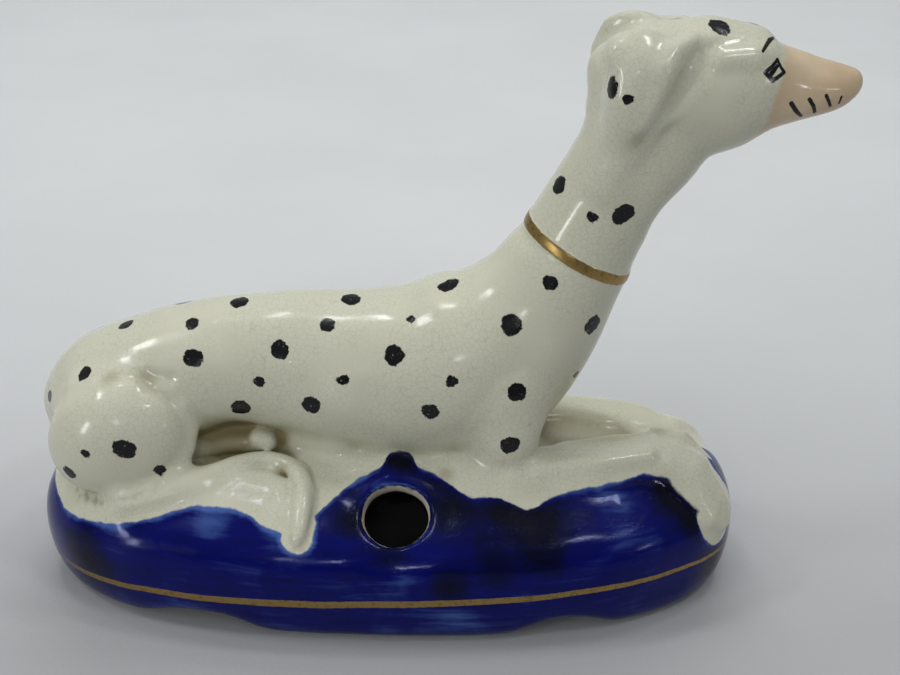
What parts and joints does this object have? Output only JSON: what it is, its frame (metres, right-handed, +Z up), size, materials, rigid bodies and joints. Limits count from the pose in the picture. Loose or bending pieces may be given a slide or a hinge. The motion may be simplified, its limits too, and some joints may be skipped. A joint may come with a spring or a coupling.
{
  "type": "ceramic dog figurine",
  "caption": "Reclining long-nosed spotted dog in glazed cream earthenware on an oval cobalt-blue plinth with a slanting hole that holds a quill or pen.",
  "frame": {"origin": "centre of the bounding box, on the surface that the plinth stands on", "axes": "+X from the rump towards the nose, +Y towards the dog's left side (the quill hole is on its right), +Z up"},
  "size_m": [0.158, 0.069, 0.1146],
  "materials": {
    "cream_glaze": "glossy crazed glaze over cream earthenware, with black painted spots",
    "cobalt_glaze": "glossy cobalt blue underglaze, pooled nearly black in the hollows",
    "gilt": "worn burnished gilding"
  },
  "bodies": {
    "root": {"plinth_front_half": "cobalt_glaze", "plinth_back_half": "cobalt_glaze", "body_right_half": "cream_glaze", "body_left_half": "cream_glaze", "head_right_half": "cream_glaze", "head_left_half": "cream_glaze", "collar_band": "gilt", "right_haunch": "cream_glaze", "left_haunch": "cream_glaze", "right_hind_foot": "cream_glaze", "left_hind_foot": "cream_glaze", "right_foreleg": "cream_glaze", "left_foreleg": "cream_glaze", "right_ear": "cream_glaze", "left_ear": "cream_glaze", "tail": "cream_glaze"}
  },
  "joints": []
}
